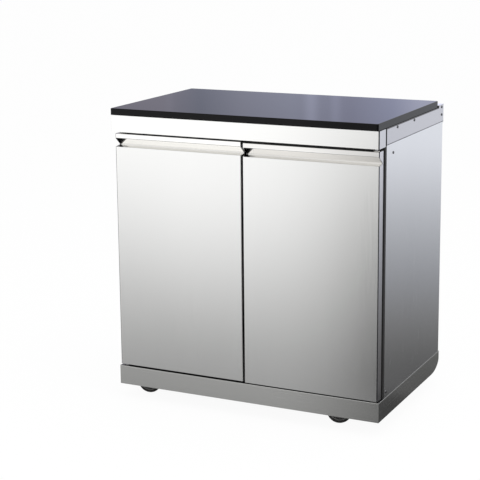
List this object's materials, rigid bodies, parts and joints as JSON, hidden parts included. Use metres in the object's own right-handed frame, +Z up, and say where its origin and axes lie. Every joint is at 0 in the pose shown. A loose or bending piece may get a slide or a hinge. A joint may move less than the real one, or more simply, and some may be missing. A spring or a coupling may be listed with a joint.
{
  "type": "outdoor kitchen cabinet",
  "caption": "Free-standing outdoor kitchen cabinet: folded steel shell with two pivoting doors and folded finger pulls, an inner shelf, a dark stone worktop and swivel castors.",
  "frame": {"origin": "On the floor, at the centre of the footprint.", "axes": "+X to the right seen from the front, +Y to the back, +Z up."},
  "size_m": [0.8736, 0.574, 0.926],
  "materials": {
    "steel_outer": "brushed",
    "steel_inner": "satin",
    "frame_black": "satin",
    "granite": "polished",
    "rubber_black": "matte",
    "zinc_plated": "satin",
    "screw_steel": "satin",
    "plastic_black": "matte",
    "plastic_white": "matte",
    "wheel_grey": "satin",
    "tyre_black": "matte"
  },
  "bodies": {
    "cabinet": {"back_panel": "steel_outer", "back_screws": "screw_steel", "band_screws": "screw_steel", "base_pan": "steel_outer", "base_rear_rail": "steel_inner", "castor_bolts": "zinc_plated", "castor_channel_left": "steel_inner", "castor_channel_right": "steel_inner", "castor_plates": "zinc_plated", "cross_rails": "steel_inner", "door_bumpers": "rubber_black", "door_pins": "zinc_plated", "fascia": "steel_outer", "front_bottom_rail": "frame_black", "front_post_left": "frame_black", "front_post_right": "frame_black", "front_top_rail": "frame_black", "magnetic_catches": "plastic_black", "panel_screws": "screw_steel", "rear_ledge": "steel_outer", "rear_post_left": "steel_inner", "rear_post_right": "steel_inner", "shelf": "steel_outer", "shelf_rails": "steel_inner", "side_band_left": "steel_outer", "side_band_right": "steel_outer", "side_panel_left": "steel_outer", "side_panel_right": "steel_outer", "skirt_front": "steel_outer", "skirt_left": "steel_outer", "skirt_right": "steel_outer", "worktop": "granite", "worktop_pads": "rubber_black"},
    "left_door": {"left_door_bushes": "plastic_white", "left_door_liner": "steel_inner", "left_door_pull": "steel_outer", "left_door_skin": "steel_outer", "left_door_strike": "zinc_plated"},
    "right_door": {"right_door_bushes": "plastic_white", "right_door_liner": "steel_inner", "right_door_pull": "steel_outer", "right_door_skin": "steel_outer", "right_door_strike": "zinc_plated"},
    "swivel_front_left": {"castor_fork_front_left": "zinc_plated", "castor_axle_front_left": "zinc_plated"},
    "wheel_front_left": {"castor_wheel_front_left": "wheel_grey", "castor_tyre_front_left": "tyre_black"},
    "swivel_front_right": {"castor_fork_front_right": "zinc_plated", "castor_axle_front_right": "zinc_plated"},
    "wheel_front_right": {"castor_wheel_front_right": "wheel_grey", "castor_tyre_front_right": "tyre_black"},
    "swivel_rear_left": {"castor_fork_rear_left": "zinc_plated", "castor_axle_rear_left": "zinc_plated"},
    "wheel_rear_left": {"castor_wheel_rear_left": "wheel_grey", "castor_tyre_rear_left": "tyre_black"},
    "swivel_rear_right": {"castor_fork_rear_right": "zinc_plated", "castor_axle_rear_right": "zinc_plated"},
    "wheel_rear_right": {"castor_wheel_rear_right": "wheel_grey", "castor_tyre_rear_right": "tyre_black"}
  },
  "joints": [
    {"name": "left_door_hinge", "type": "hinge", "parent": "cabinet", "child": "left_door", "pos_m": [-0.415, -0.2535, 0.1103], "axis": [0, 0, -1], "range_deg": [0, 110]},
    {"name": "right_door_hinge", "type": "hinge", "parent": "cabinet", "child": "right_door", "pos_m": [0.415, -0.2535, 0.1078], "axis": [0, 0, 1], "range_deg": [0, 110]},
    {"name": "swivel_front_left_turn", "type": "hinge", "parent": "cabinet", "child": "swivel_front_left", "pos_m": [-0.327, -0.18197, 0.0907], "axis": [0, 0, 1], "continuous": true},
    {"name": "wheel_front_left_spin", "type": "hinge", "parent": "swivel_front_left", "child": "wheel_front_left", "pos_m": [-0.37102, -0.19133, 0.0375], "axis": [-0.2079, 0.9781, 0], "continuous": true},
    {"name": "swivel_front_right_turn", "type": "hinge", "parent": "cabinet", "child": "swivel_front_right", "pos_m": [0.327, -0.18197, 0.0907], "axis": [0, 0, 1], "continuous": true},
    {"name": "wheel_front_right_spin", "type": "hinge", "parent": "swivel_front_right", "child": "wheel_front_right", "pos_m": [0.28471, -0.19736, 0.0375], "axis": [-0.342, 0.9397, 0], "continuous": true},
    {"name": "swivel_rear_left_turn", "type": "hinge", "parent": "cabinet", "child": "swivel_rear_left", "pos_m": [-0.327, 0.19997, 0.0907], "axis": [0, 0, 1], "continuous": true},
    {"name": "wheel_rear_left_spin", "type": "hinge", "parent": "swivel_rear_left", "child": "wheel_rear_left", "pos_m": [-0.37175, 0.19527, 0.0375], "axis": [-0.1045, 0.9945, 0], "continuous": true},
    {"name": "swivel_rear_right_turn", "type": "hinge", "parent": "cabinet", "child": "swivel_rear_right", "pos_m": [0.327, 0.19997, 0.0907], "axis": [0, 0, 1], "continuous": true},
    {"name": "wheel_rear_right_spin", "type": "hinge", "parent": "swivel_rear_right", "child": "wheel_rear_right", "pos_m": [0.28374, 0.18757, 0.0375], "axis": [-0.2756, 0.9613, 0], "continuous": true}
  ]
}
